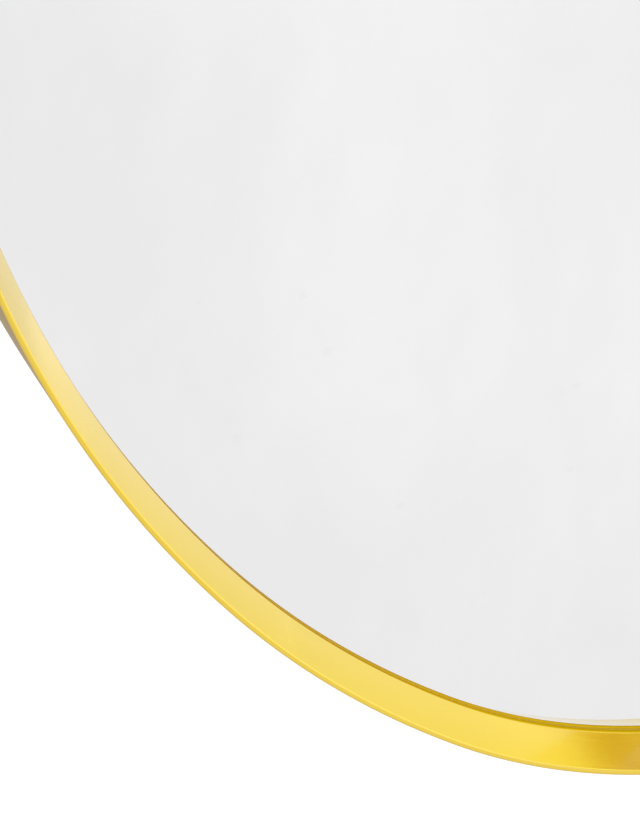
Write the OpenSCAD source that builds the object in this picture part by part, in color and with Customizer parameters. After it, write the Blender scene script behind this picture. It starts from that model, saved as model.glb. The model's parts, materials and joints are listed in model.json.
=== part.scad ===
// Oval wall mirror in a deep-set, hollow metal frame.
// The oval stands in the XZ plane and faces -Y. The wall is the plane y = 0, with the
// origin at the middle of the oval. Every piece is drawn lying down, with its local z
// measured from the wall towards the viewer, and stood up by upright().

/* [Oval] */
// Overall width of the frame
mirror_w = 610; // [500:10:720]
// Overall height of the frame
mirror_h = 914; // [820:2:1100]

/* [Frame section] */
// Thickness of the outer wall
wall_t = 1.8; // [1.4:0.1:2.4]
// Width of the flat front rim
rim_w = 1.8; // [1.4:0.1:3]
// Width of the sloped inner face, seen from the front
face_w = 6.2; // [5:0.1:9]
// Depth of the sloped inner face
face_depth = 12; // [9:0.2:16]
// Height of the upright edge below the sloped face
lip_h = 1.4; // [1:0.1:3]
// Thickness of the webs round the hollow chamber
web_t = 1.2; // [0.8:0.1:1.4]
// Width of the flange that turns in at the rear
return_w = 3; // [2.4:0.1:3.4]
// Thickness of that flange
return_t = 1.6; // [1.2:0.1:2]
// Chamfer on the edges of the front rim
rim_chamfer = 0.35; // [0.2:0.05:0.6]
// Width of the butt joint where the bent section closes
joint_gap = 0.2; // [0.1:0.05:0.5]

/* [Pack of glass and board] */
// Gap between the rear flange and the edge of the pack
pack_gap = 0.3; // [0.2:0.1:0.8]
// Thickness of the glazing tape between frame and glass
glazing_t = 0.4; // [0.3:0.1:0.8]
// How far the glazing tape is set back from the edge in view
glazing_setback = 0.3; // [0.1:0.1:0.8]
// How far the glazing tape starts from the edge of the glass
glazing_margin = 0.3; // [0.1:0.1:0.6]
// Thickness of the silvered glass
glass_t = 4; // [3:0.5:6]
// Thickness of the safety film on the back of the glass
film_t = 0.2; // [0.1:0.05:0.5]
// How far the film stays from the edge of the glass
film_setback = 1; // [0.5:0.5:4]
// Thickness of the mounting tape
mount_tape_t = 1; // [0.8:0.1:2]
// Width of each strip of mounting tape
mount_tape_w = 25; // [15:1:40]
// Distance between neighbouring strips of mounting tape
mount_tape_pitch = 100; // [70:5:110]
// Thickness of the backing board
board_t = 6; // [5.5:0.5:10]
// Depth of the space behind the board, up to the rear rim
back_recess = 7; // [5.6:0.1:12]

/* [Splice at the joint] */
// Length of the key in the hollow chamber
key_len = 90; // [70:5:160]
// Clearance of the key in the chamber
key_clear = 0.15; // [0.1:0.05:0.3]
// Radius of the grub screws
grub_r = 1; // [0.8:0.1:1.2]
// Length of the grub screws
grub_len = 3.6; // [3:0.1:4]
// Distance of the nearer grub screws from the joint
grub_first = 12; // [8:1:16]
// Distance from those to the farther ones
grub_pitch = 22; // [8:1:24]
// How far the grub screws stay below the surface
grub_sink = 0.1; // [0.05:0.05:0.3]
// Depth of the grub screws' hexagon socket
grub_socket = 1; // [0.6:0.1:1.4]
// Metal left in the key between its side and a grub screw
grub_wall = 0.5; // [0.4:0.1:0.8]

/* [Board screws] */
// Radius of the head
head_r = 3.4; // [3:0.1:3.8]
// Height of the head
head_h = 2; // [1.6:0.1:2.4]
// Radius of the shank
shank_r = 1.6; // [1.2:0.1:1.8]
// Length under the head
shank_len = 5.6; // [4.6:0.1:6]
// Clearance of a shank in the hole of a clip or strap
screw_clear = 0.2; // [0.1:0.05:0.4]
// Clearance of a screw in the hole that it bites into
pilot_clear = 0.05; // [0.02:0.01:0.1]
// Width of the cross recess in a head
recess_w = 0.8; // [0.6:0.1:1]
// Length of the cross recess
recess_len = 3.4; // [2.4:0.2:4]
// Depth of the cross recess
recess_depth = 1; // [0.6:0.1:1.2]

/* [Retainer clips] */
// Width of a clip
clip_w = 16; // [12:1:24]
// Thickness of the clip's sheet
clip_t = 1.2; // [1:0.1:1.4]
// Length of the clip's foot on the board
clip_foot = 14; // [12:0.5:24]
// Cut-off at the corners of the foot
clip_corner = 3; // [1:0.5:5]
// Distance of the clip's riser from the edge of the board
riser_setback = 0.5; // [0.3:0.1:1]
// Clearance between the clip's tab and the rear flange
tab_gap = 0.1; // [0.05:0.05:0.3]
// Clearance between the end of the tab and the outer wall
tab_clear = 0.4; // [0.3:0.1:0.8]

/* [Hangers] */
// Radius of the ring's wire
wire_r = 1.4; // [1.2:0.05:1.45]
// Radius of the round part of the ring, to the middle of the wire
ring_r = 10; // [9.5:0.5:14]
// Radius of the ring's two bends beside the straight bar
ring_bend = 3; // [2.5:0.25:4]
// Thickness of the strap
strap_t = 1.2; // [1:0.1:1.25]
// Width of the strap
strap_w = 12; // [9:0.5:12.5]
// Clearance between the folded ring and its strap
fold_gap = 0.3; // [0.2:0.05:0.4]
// Running clearance of the ring's bar in its knuckle
bar_clear = 0.05; // [0.02:0.01:0.1]
// How far the knuckle is set in from the sides of the strap
knuckle_setback = 0.5; // [0.5:0.25:1.5]
// Distance between the folded ring and the head of the nearer screw
ring_to_head = 2; // [1:0.5:6]
// Distance between the strap's two screws
strap_screw_pitch = 13; // [10:1:24]
// Distance of the two upper hangers below the top of the frame
upper_hanger_drop = 207; // [190:1:260]
// Distance of the two upper hangers from the frame's sides
upper_hanger_inset = 135; // [130:5:170]
// Distance of the two side hangers from the frame's side
side_hanger_inset = 90; // [90:5:130]
// Height of the side hangers above and below the middle
side_hanger_z = 130; // [80:5:150]

/* [Wall bumpers] */
// Radius of a bumper where it is stuck to the board
bumper_r = 7; // [5:0.5:10]
// Radius of its flat end
bumper_tip_r = 5; // [3:0.5:7]
// How far the bumpers hold the rear rim off the wall
wall_gap = 1.2; // [0.6:0.1:3]
// Distance from the outside of the frame to the middle of a bumper
bumper_inset = 26; // [20:1:60]

/* [Hidden] */
$fn = 180;

// Heights above the wall, from the bumpers' ends to the front rim
rim_z = wall_gap;
board_z = rim_z + back_recess;
tape_z = board_z + board_t;
film_z = tape_z + mount_tape_t;
glass_z = film_z + film_t;
glazing_z = glass_z + glass_t;
seat_z = glazing_z + glazing_t;
lip_z = seat_z + lip_h;
front_z = lip_z + face_depth;

// The oval is sixteen arcs that run into one another. Each quarter turns from the
// side to the end through these three directions, which are whole-number triangles,
// so that neighbouring arcs meet exactly.
half_w = mirror_w / 2;
half_h = mirror_h / 2;
turn_a = [0.96, 0.28];
turn_b = [0.8, 0.6];
turn_c = [0.6, 0.8];
radius_step = 5;
function stepped(r) = radius_step * round(r / radius_step);
// The end arc is a little flatter than the end of an ellipse of the same size, and the
// shoulder arc grows from it with the oval's proportions
end_flatness = 1.055;
shoulder_growth = 1.31;
end_r = stepped(end_flatness * half_w * half_w / half_h);
shoulder_r = stepped(end_r * pow(half_h / half_w, shoulder_growth));
// The flank and side arcs close the outline
step_c = shoulder_r - end_r;
rest_x = half_w - end_r - step_c * (1 - turn_c.x);
rest_y = half_h - end_r - step_c * turn_c.y;
det = (1 - turn_a.x) * turn_b.y - (1 - turn_b.x) * turn_a.y;
step_a = (rest_x * turn_b.y - (1 - turn_b.x) * rest_y) / det;
step_b = ((1 - turn_a.x) * rest_y - turn_a.y * rest_x) / det;
flank_r = shoulder_r + step_b;
side_r = flank_r + step_a;
side_c = [half_w - side_r, 0];
flank_c = side_c + step_a * turn_a;
shoulder_c = flank_c + step_b * turn_b;
end_c = [0, half_h - end_r];

// Each arc: its centre, its radius and the two directions between which it runs
function flip(v, s) = [v.x * s.x, v.y * s.y];
function arcs_at(s) = [
    [flip(flank_c, s), flank_r, flip(turn_a, s), flip(turn_b, s)],
    [flip(shoulder_c, s), shoulder_r, flip(turn_b, s), flip(turn_c, s)]];
QUARTERS = [[1, 1], [-1, 1], [-1, -1], [1, -1]];
ARCS = concat(
    [for (s = QUARTERS) each arcs_at(s)],
    [for (s = [1, -1]) [s * side_c, side_r, [s * turn_a.x, -turn_a.y], [s * turn_a.x, turn_a.y]]],
    [for (s = [1, -1]) [s * end_c, end_r, [-turn_c.x, s * turn_c.y], [turn_c.x, s * turn_c.y]]]);

// Far enough for a wedge from any arc's centre to pass the outline
reach = 4 * mirror_h;
// How far a cutting shape runs past the surface that it opens
past = 1;
// Where the outline, moved in by inset, meets one arc's direction
function on_arc(arc, dir, inset) = arc[0] + (arc[1] - inset) * dir;
// The corners of the outline, one where each pair of arcs meets
function corners(inset) = [for (i = [0:3]) let (s = QUARTERS[i], arcs = arcs_at(s))
    each (s.x * s.y > 0
        ? [on_arc(arcs[0], arcs[0][2], inset), on_arc(arcs[0], arcs[0][3], inset),
           on_arc(arcs[1], arcs[1][3], inset)]
        : [on_arc(arcs[1], arcs[1][3], inset), on_arc(arcs[0], arcs[0][3], inset),
           on_arc(arcs[0], arcs[0][2], inset)])];

// The frame's section: x is minus the distance from the outside, y is local z.
// The slope's inner surface runs parallel to the face, web_t behind it.
sight = rim_w + face_w;
slope_len = sqrt(face_w * face_w + face_depth * face_depth);
slope_drop = web_t * slope_len / face_w;
chamber_floor = seat_z + web_t;
chamber_top = front_z - slope_drop - (wall_t - rim_w) * face_depth / face_w;
chamber_w = (chamber_top - chamber_floor) * face_w / face_depth;
slope_in = rim_chamfer * face_w / slope_len;
slope_down = rim_chamfer * face_depth / slope_len;

// Parts that seat in the frame
pack_inset = wall_t + return_w + pack_gap;
glazing_out = pack_inset + glazing_margin;
glazing_in = sight - glazing_setback;
key_w = chamber_w - key_clear * (1 + (slope_len + face_w) / face_depth);
key_h = key_w * face_depth / face_w;
grub_x = wall_t + key_clear + grub_wall + grub_r;
grub_places = [grub_first, grub_first + grub_pitch];

// Clips: a tab under the rear flange, a riser beside it and a foot on the board
tab_z = rim_z + return_t + tab_gap;
clip_out = wall_t + tab_clear;
riser_out = pack_inset + riser_setback;
clip_in = riser_out + clip_foot;
clip_screw_inset = riser_out + clip_t + (clip_foot - clip_t) / 2;

// Hangers: heights are measured from the board's rear face
bar_h = strap_t + fold_gap + wire_r;
knuckle_bore = wire_r + bar_clear;
knuckle_r = knuckle_bore + strap_t;
knuckle_w = strap_w - 2 * knuckle_setback;
bar_half = ring_r - ring_bend;
ring_len = ring_bend + ring_r + wire_r;
strap_screw_1 = ring_len + ring_to_head + head_r;
strap_screw_2 = strap_screw_1 + strap_screw_pitch;
strap_end = strap_screw_2 + strap_w / 2;
strap_corner = strap_w / 4;

// Each hanger: the middle of its knuckle, and the turn that points it at its hook
UPPER_LEFT = [upper_hanger_inset - half_w, half_h - upper_hanger_drop, 0];
UPPER_RIGHT = [half_w - upper_hanger_inset, half_h - upper_hanger_drop, 0];
SIDE_TOP = [half_w - side_hanger_inset, side_hanger_z, -90];
SIDE_BOTTOM = [half_w - side_hanger_inset, -side_hanger_z, -90];
HANGERS = [UPPER_LEFT, UPPER_RIGHT, SIDE_TOP, SIDE_BOTTOM];

module upright() {
    rotate([90, 0, 0]) children();
}

// A ring all the way round the oval, swept from one section
module swept_ring() {
    for (arc = ARCS)
        translate(arc[0])
            intersection() {
                rotate_extrude() translate([arc[1], 0]) children();
                linear_extrude(2 * front_z)
                    polygon([[0, 0], reach * arc[2], reach * arc[3]]);
            }
}

// The flat outline of the oval, moved in by inset
module oval(inset) {
    polygon(corners(inset));
    for (arc = ARCS) {
        a = on_arc(arc, arc[2], inset);
        b = on_arc(arc, arc[3], inset);
        out = half_w * (arc[2] + arc[3]);
        intersection() {
            translate(arc[0]) circle(arc[1] - inset);
            polygon([a, b, b + out, a + out]);
        }
    }
}

// One clip's place: outside the pack, with x pointing out of the oval
module at_clip(i) {
    s = QUARTERS[floor(i / 2)];
    low = i % 2 == 0;
    arc = arcs_at(s)[low ? 0 : 1];
    dir = arc[low ? 2 : 3];
    p = on_arc(arc, dir, 0);
    multmatrix([[dir.x, -dir.y, 0, p.x], [dir.y, dir.x, 0, p.y], [0, 0, 1, 0], [0, 0, 0, 1]])
        children();
}

// A hanger's place, with z pointing away from the board and y towards the hook
module at_hanger(h) {
    translate([h.x, h.y, board_z]) rotate([0, 0, h.z]) mirror([0, 0, 1]) children();
}

module frame_section() {
    difference() {
        polygon([
            [0, rim_z], [0, front_z - rim_chamfer], [-rim_chamfer, front_z],
            [-rim_w + rim_chamfer, front_z], [-rim_w - slope_in, front_z - slope_down],
            [-sight + slope_in, lip_z + slope_down], [-sight, lip_z - rim_chamfer],
            [-sight, seat_z], [-wall_t, seat_z], [-wall_t, rim_z + return_t],
            [-wall_t - return_w, rim_z + return_t], [-wall_t - return_w, rim_z]]);
        polygon([
            [-wall_t, chamber_floor], [-wall_t, chamber_top],
            [-wall_t - chamber_w, chamber_floor]]);
    }
}

// The bent section, in one length that closes at the bottom
module frame() {
    color([0.95, 0.82, 0.36]) upright()
        difference() {
            swept_ring() frame_section();
            translate([-joint_gap / 2, -half_h - past, 0])
                cube([joint_gap, sight + 2 * past, front_z + past]);
            at_grubs() translate([0, 0, seat_z - past])
                cylinder(web_t + 2 * past, r = grub_r + pilot_clear);
        }
}

// Where the grub screws go, along the end arc on both sides of the joint
module at_grubs() {
    for (side = [-1, 1], place = grub_places)
        translate(-end_c) rotate([0, 0, -90 + side * place / end_r * 180 / PI])
            translate([end_r - grub_x, 0, 0]) children();
}

// A bent key that fills the hollow chamber on both sides of the joint
module splice_key() {
    half_angle = key_len / 2 / end_r * 180 / PI;
    out = -wall_t - key_clear;
    floor_z = chamber_floor + key_clear;
    color([0.72, 0.72, 0.74]) upright()
        difference() {
            translate(-end_c) rotate([0, 0, -90 - half_angle])
                rotate_extrude(angle = 2 * half_angle) translate([end_r, 0])
                    polygon([[out, floor_z], [out, floor_z + key_h], [out - key_w, floor_z]]);
            at_grubs() translate([0, 0, seat_z])
                cylinder(grub_sink + grub_len + grub_sink, r = grub_r + pilot_clear);
        }
}

module splice_screws() {
    color([0.35, 0.35, 0.37]) upright()
        at_grubs() translate([0, 0, seat_z + grub_sink])
            difference() {
                cylinder(grub_len, r = grub_r);
                translate([0, 0, -past]) cylinder(grub_socket + past, r = grub_r / 2, $fn = 6);
            }
}

// A strip of dark foam tape, so that the metal doesn't touch the glass
module glazing_tape() {
    color([0.16, 0.13, 0.1]) upright()
        swept_ring()
            translate([-glazing_in, glazing_z]) square([glazing_in - glazing_out, glazing_t]);
}

module mirror_glass() {
    color([0.9, 0.92, 0.92]) upright()
        translate([0, 0, glass_z]) linear_extrude(glass_t) oval(pack_inset);
}

module safety_film() {
    color([0.55, 0.57, 0.58]) upright()
        translate([0, 0, film_z]) linear_extrude(film_t) oval(pack_inset + film_setback);
}

// Strips that hold the glass to the board, each as long as the oval lets it be
module mounting_tape() {
    count = floor((half_w - 2 * mount_tape_w) / mount_tape_pitch);
    color([0.93, 0.93, 0.9]) upright()
        for (i = [-count:count]) {
            x = abs(i) * mount_tape_pitch + mount_tape_w / 2;
            half_len = half_h * sqrt(1 - x * x / half_w / half_w) - mount_tape_w;
            translate([i * mount_tape_pitch - mount_tape_w / 2, -half_len, tape_z])
                cube([mount_tape_w, 2 * half_len, mount_tape_t]);
        }
}

module backing_board() {
    color([0.42, 0.31, 0.22]) upright()
        difference() {
            translate([0, 0, board_z]) linear_extrude(board_t) oval(pack_inset);
            for (i = [0:7]) at_clip(i) pilot(-clip_screw_inset, clip_t);
            for (h = HANGERS, v = [strap_screw_1, strap_screw_2])
                at_hanger(h) translate([0, -v, 0]) mirror([0, 0, 1]) translate([0, 0, -board_z])
                    pilot(0, strap_t);
        }
}

// The hole that a board screw bites into, under a sheet of the given thickness
module pilot(x, sheet) {
    translate([x, 0, board_z - past])
        cylinder(past + shank_len - sheet + screw_clear, r = shank_r + pilot_clear);
}

// A pan head screw whose head rests on z = 0 and points along z
module board_screw() {
    difference() {
        rotate_extrude($fn = 48) polygon([
            [0, head_h], [head_r / 3, head_h], [head_r * 3 / 4, head_h * 5 / 6],
            [head_r, head_h / 3], [head_r, 0], [shank_r, 0],
            [shank_r, shank_r - shank_len], [0, -shank_len]]);
        for (turn = [0, 90])
            rotate([0, 0, turn]) translate([-recess_len / 2, -recess_w / 2, head_h - recess_depth])
                cube([recess_len, recess_w, recess_depth + past]);
    }
}

// A sheet clip: the tab hooks under the rear flange and the foot presses on the board
module retainer_clip(i) {
    half = clip_w / 2;
    color([0.75, 0.75, 0.77]) upright() at_clip(i)
        difference() {
            intersection() {
                translate([0, half, 0]) rotate([90, 0, 0]) linear_extrude(clip_w)
                    polygon([
                        [-clip_out, tab_z], [-riser_out - clip_t, tab_z],
                        [-riser_out - clip_t, board_z - clip_t], [-clip_in, board_z - clip_t],
                        [-clip_in, board_z], [-riser_out, board_z],
                        [-riser_out, tab_z + clip_t], [-clip_out, tab_z + clip_t]]);
                linear_extrude(board_z + past) polygon([
                    [0, -half], [0, half], [clip_corner - clip_in, half],
                    [-clip_in, half - clip_corner], [-clip_in, clip_corner - half],
                    [clip_corner - clip_in, -half]]);
            }
            translate([-clip_screw_inset, 0, board_z - clip_t - past])
                cylinder(clip_t + 2 * past, r = shank_r + screw_clear);
        }
}

module clip_screws() {
    color([0.6, 0.6, 0.62]) upright()
        for (i = [0:7]) at_clip(i)
            translate([-clip_screw_inset, 0, board_z - clip_t]) mirror([0, 0, 1]) board_screw();
}

// A strap folded round the ring's bar, with two screw holes
module hanger_strap(h) {
    half = strap_w / 2;
    color([0.78, 0.78, 0.8]) upright() at_hanger(h)
        difference() {
            union() {
                linear_extrude(strap_t) polygon([
                    [-knuckle_w / 2, 0], [knuckle_w / 2, 0], [half, -knuckle_r * 2],
                    [half, strap_corner - strap_end], [half - strap_corner, -strap_end],
                    [strap_corner - half, -strap_end], [-half, strap_corner - strap_end],
                    [-half, -knuckle_r * 2]]);
                translate([-knuckle_w / 2, 0, bar_h]) rotate([0, 90, 0])
                    cylinder(knuckle_w, r = knuckle_r);
            }
            translate([-knuckle_w, 0, bar_h]) rotate([0, 90, 0])
                cylinder(2 * knuckle_w, r = knuckle_bore);
            for (v = [strap_screw_1, strap_screw_2])
                translate([0, -v, -past])
                    cylinder(strap_t + 2 * past, r = shank_r + screw_clear);
        }
}

// A D-shaped ring of round wire, folded down over its strap
module hanger_ring(h) {
    color([0.82, 0.82, 0.84]) upright() at_hanger(h) translate([0, 0, bar_h]) {
        translate([-bar_half, 0, 0]) rotate([0, 90, 0]) cylinder(2 * bar_half, r = wire_r);
        for (side = [-1, 1])
            translate([side * bar_half, -ring_bend, 0]) rotate([0, 0, side > 0 ? 0 : 90])
                rotate_extrude(angle = 90) translate([ring_bend, 0]) circle(wire_r, $fn = 32);
        translate([0, -ring_bend, 0]) rotate([0, 0, 180])
            rotate_extrude(angle = 180) translate([ring_r, 0]) circle(wire_r, $fn = 32);
    }
}

module hanger_screws() {
    color([0.6, 0.6, 0.62]) upright()
        for (h = HANGERS, v = [strap_screw_1, strap_screw_2])
            at_hanger(h) translate([0, -v, strap_t]) board_screw();
}

// A tapered rubber pad on the board that reaches past the rear rim to the wall
module wall_bumper(i) {
    arc = arcs_at(QUARTERS[i])[0];
    p = on_arc(arc, arc[3], bumper_inset);
    color([0.2, 0.2, 0.2]) upright()
        translate([p.x, p.y, 0]) cylinder(board_z, r1 = bumper_tip_r, r2 = bumper_r, $fn = 64);
}

frame();
splice_key();
splice_screws();
glazing_tape();
mirror_glass();
safety_film();
mounting_tape();
backing_board();
retainer_clip(0);  // retainer_clip_1
retainer_clip(1);  // retainer_clip_2
retainer_clip(2);  // retainer_clip_3
retainer_clip(3);  // retainer_clip_4
retainer_clip(4);  // retainer_clip_5
retainer_clip(5);  // retainer_clip_6
retainer_clip(6);  // retainer_clip_7
retainer_clip(7);  // retainer_clip_8
clip_screws();
hanger_strap(UPPER_LEFT);  // strap_upper_left
hanger_strap(UPPER_RIGHT);  // strap_upper_right
hanger_strap(SIDE_TOP);  // strap_side_top
hanger_strap(SIDE_BOTTOM);  // strap_side_bottom
hanger_ring(UPPER_LEFT);  // ring_upper_left
hanger_ring(UPPER_RIGHT);  // ring_upper_right
hanger_ring(SIDE_TOP);  // ring_side_top
hanger_ring(SIDE_BOTTOM);  // ring_side_bottom
hanger_screws();
wall_bumper(0);  // wall_bumper_1
wall_bumper(1);  // wall_bumper_2
wall_bumper(2);  // wall_bumper_3
wall_bumper(3);  // wall_bumper_4
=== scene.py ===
"""Looks of an oval wall mirror in a deep, gold-coloured metal frame.

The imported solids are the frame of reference: +Z is up, the glass faces -Y, and the wall is
the plane y = 0. Every piece is modelled in metres, lying down with its height measured from
the wall towards the viewer, and is then stood up at its place.
"""

from __future__ import annotations

import json
import logging
import math
from dataclasses import dataclass
from enum import Enum
from functools import cache
from typing import Callable, Mapping, Sequence

import bmesh
import bpy
from mathutils import Matrix, Vector


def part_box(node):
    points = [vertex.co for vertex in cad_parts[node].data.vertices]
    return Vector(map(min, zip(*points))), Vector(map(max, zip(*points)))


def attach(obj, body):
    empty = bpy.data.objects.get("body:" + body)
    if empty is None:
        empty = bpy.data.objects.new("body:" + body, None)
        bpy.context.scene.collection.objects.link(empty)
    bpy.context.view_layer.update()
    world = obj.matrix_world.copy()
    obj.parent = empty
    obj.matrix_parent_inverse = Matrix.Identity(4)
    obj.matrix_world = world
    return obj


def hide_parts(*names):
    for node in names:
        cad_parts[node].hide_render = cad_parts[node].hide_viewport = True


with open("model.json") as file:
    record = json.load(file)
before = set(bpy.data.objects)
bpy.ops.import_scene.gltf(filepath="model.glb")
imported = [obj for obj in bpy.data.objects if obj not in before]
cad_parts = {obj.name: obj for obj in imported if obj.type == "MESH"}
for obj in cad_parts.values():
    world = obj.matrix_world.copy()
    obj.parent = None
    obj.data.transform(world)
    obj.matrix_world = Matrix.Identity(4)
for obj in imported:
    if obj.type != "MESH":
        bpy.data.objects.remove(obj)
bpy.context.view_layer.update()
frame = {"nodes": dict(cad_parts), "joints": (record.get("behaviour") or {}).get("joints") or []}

LOG = logging.getLogger("mirror")
MM = 0.001

# Distances below which points count as one, from strict to loose
HAIR = 0.0001 * MM
TOUCH = 0.001 * MM
JOIN = 0.01 * MM

Colour = tuple[float, float, float]
Point2 = tuple[float, float]

# Local (x, y, height from the wall) to the upright mirror
UPRIGHT = Matrix.Rotation(math.radians(90), 4, "X")


class Slot(Enum):
    """The record's material slots."""

    FRAME = "gold_frame"
    KEY = "splice_metal"
    GRUB = "black_screw"
    GLAZING = "glazing_foam"
    MIRROR = "mirror"
    FILM = "film"
    TAPE = "white_foam"
    BOARD = "board"
    SCREW = "zinc_screw"
    CLIP = "clip_steel"
    STRAP = "strap_steel"
    RING = "ring_steel"
    BUMPER = "bumper_rubber"


class Element(Enum):
    """The kinds of mesh element that an edit-mode tool works on."""

    VERT = "verts"
    EDGE = "edges"
    FACE = "faces"


# Shader building


class Signal:
    """One output of a material's nodes, which can be used in arithmetic."""

    def __init__(self, sheet: ShaderSheet, socket: bpy.types.NodeSocket) -> None:
        """Keeps the socket and the sheet that it belongs to."""
        self.sheet = sheet
        self.socket = socket

    def _math(self, operation: str, first: object, second: object) -> Signal:
        """The value of one Math node, from two signals or numbers."""
        return self.sheet.read("ShaderNodeMath", {"operation": operation}, {0: first, 1: second})

    def __add__(self, other: object) -> Signal:
        """self + other."""
        return self._math("ADD", self, other)

    __radd__ = __add__

    def __sub__(self, other: object) -> Signal:
        """self - other."""
        return self._math("SUBTRACT", self, other)

    def __rsub__(self, other: object) -> Signal:
        """other - self."""
        return self._math("SUBTRACT", other, self)

    def __mul__(self, other: object) -> Signal:
        """self * other."""
        return self._math("MULTIPLY", self, other)

    __rmul__ = __mul__

    def __truediv__(self, other: object) -> Signal:
        """self / other."""
        return self._math("DIVIDE", self, other)

    def __rtruediv__(self, other: object) -> Signal:
        """other / self."""
        return self._math("DIVIDE", other, self)

    def swing(self, share: float) -> Signal:
        """A pattern's swing about its middle value of a half, times a share."""
        return (self - 0.5) * share

    def clamp(self, low: float, high: float) -> Signal:
        """The value, kept between low and high."""
        return self.sheet.read("ShaderNodeClamp", {}, {"Value": self, "Min": low, "Max": high})

    def ramp(self, low: float, high: float) -> Signal:
        """A smooth step from 0 at low to 1 at high."""
        limits = {"Value": self, "From Min": low, "From Max": high}
        return self.sheet.read("ShaderNodeMapRange", {"interpolation_type": "SMOOTHSTEP"}, limits)


class ShaderSheet:
    """A material's node tree, and the shader in it that is being set."""

    def __init__(self, name: str) -> None:
        """Starts a material with a shader and an output.

        Args:
            name: The material's name.
        """
        self.material = bpy.data.materials.new(name)
        self.material.use_nodes = True
        self.tree = self.material.node_tree
        self.tree.nodes.clear()
        self.shader = self.node("ShaderNodeBsdfPrincipled")
        self.output = self.node("ShaderNodeOutputMaterial")
        self.feed(self.output.inputs["Surface"], Signal(self, self.shader.outputs[0]))

    def overlay(self, share: Signal) -> None:
        """Starts another shader, which covers what was made so far where the share is 1.

        Args:
            share: The new shader's share.
        """
        below = Signal(self, self.output.inputs["Surface"].links[0].from_socket)
        self.shader = self.node("ShaderNodeBsdfPrincipled")
        above = Signal(self, self.shader.outputs[0])
        mixed = self.read("ShaderNodeMixShader", {}, {0: share, 1: below, 2: above})
        self.feed(self.output.inputs["Surface"], mixed)

    def feed(self, socket: bpy.types.NodeSocket, value: object) -> None:
        """Links a signal to a socket, or sets its value.

        Args:
            socket: The socket.
            value: A signal, or the socket's value.
        """
        if isinstance(value, Signal):
            self.tree.links.new(value.socket, socket)
        else:
            socket.default_value = value

    def node(
        self, kind: str, settings: Mapping | None = None, values: Mapping | None = None
    ) -> bpy.types.Node:
        """Adds one node.

        Args:
            kind: The node's type.
            settings: The node's own properties, which are set first.
            values: Numbers, vectors or signals for its inputs, by name or index.

        Returns:
            The node.
        """
        node = self.tree.nodes.new(kind)
        for key, value in (settings or {}).items():
            setattr(node, key, value)
        for key, value in (values or {}).items():
            self.feed(node.inputs[key], value)
        return node

    def read(
        self,
        kind: str,
        settings: Mapping | None = None,
        values: Mapping | None = None,
        output: int | str = 0,
    ) -> Signal:
        """Adds one node and reads one of its outputs."""
        return Signal(self, self.node(kind, settings, values).outputs[output])

    def place(self) -> Signal:
        """The point on the object, in metres."""
        return self.read("ShaderNodeTexCoord", output="Object")

    def split(self, vector: Signal) -> tuple[Signal, ...]:
        """The vector's x, y and z."""
        parts = self.node("ShaderNodeSeparateXYZ", {}, {0: vector})
        return tuple(Signal(self, parts.outputs[axis]) for axis in "XYZ")

    def unwrapped(self) -> tuple[Signal, ...]:
        """The piece's own surface coordinates: along it and across it, in metres."""
        return self.split(self.read("ShaderNodeTexCoord", output="UV"))[:2]

    def vector(self, x: object, y: object, z: object = 0.0) -> Signal:
        """A vector from three numbers or signals."""
        return self.read("ShaderNodeCombineXYZ", {}, {"X": x, "Y": y, "Z": z})

    def mapped(self, at: Signal, **values: object) -> Signal:
        """The point turned or scaled, for a pattern that is turned or stretched."""
        return self.read("ShaderNodeMapping", {}, {"Vector": at, **values})

    def noise(self, at: Signal, scale: float, detail: float = 3.0, rough: float = 0.5) -> Signal:
        """Cloudy noise between 0 and 1, with finer layers that are as strong as rough says."""
        values = {"Vector": at, "Scale": scale, "Detail": detail, "Roughness": rough}
        return self.read("ShaderNodeTexNoise", {}, values)

    def cells(self, at: Signal, scale: float) -> Signal:
        """The distance to the nearest of scattered points, for pores and dust."""
        return self.read("ShaderNodeTexVoronoi", {}, {"Vector": at, "Scale": scale}, "Distance")

    def mix(self, share: object, first: object, second: object) -> Signal:
        """The first colour where the share is 0, and the second where it is 1."""
        a, b = (c if isinstance(c, Signal) else (*c, 1.0) for c in (first, second))
        return self.read("ShaderNodeMix", {"data_type": "RGBA"}, {0: share, 6: a, 7: b}, 2)

    def relief(self, height: Signal, depth: float, strength: float = 1.0) -> None:
        """Raises the surface's shading, by a depth in metres where the height is 1."""
        values = {"Height": height, "Distance": depth, "Strength": strength}
        self.feed(self.shader.inputs["Normal"], self.read("ShaderNodeBump", {}, values))

    def dress(self, **values: object) -> bpy.types.Material:
        """Sets the shader's inputs.

        Args:
            **values: The inputs by name, with underscores for spaces.

        Returns:
            The finished material.
        """
        for key, value in values.items():
            name = key.replace("_", " ").title().replace("Ior", "IOR")
            self.feed(self.shader.inputs[name], (*value, 1.0) if isinstance(value, tuple) else value)
        return self.material


# Finishes


@dataclass(frozen=True)
class Skin:
    """A brushed surface: its light and deep tone, its tint at a grazing angle and its gloss."""

    light: Colour
    deep: Colour
    grazing: Colour
    roughness: float


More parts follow.
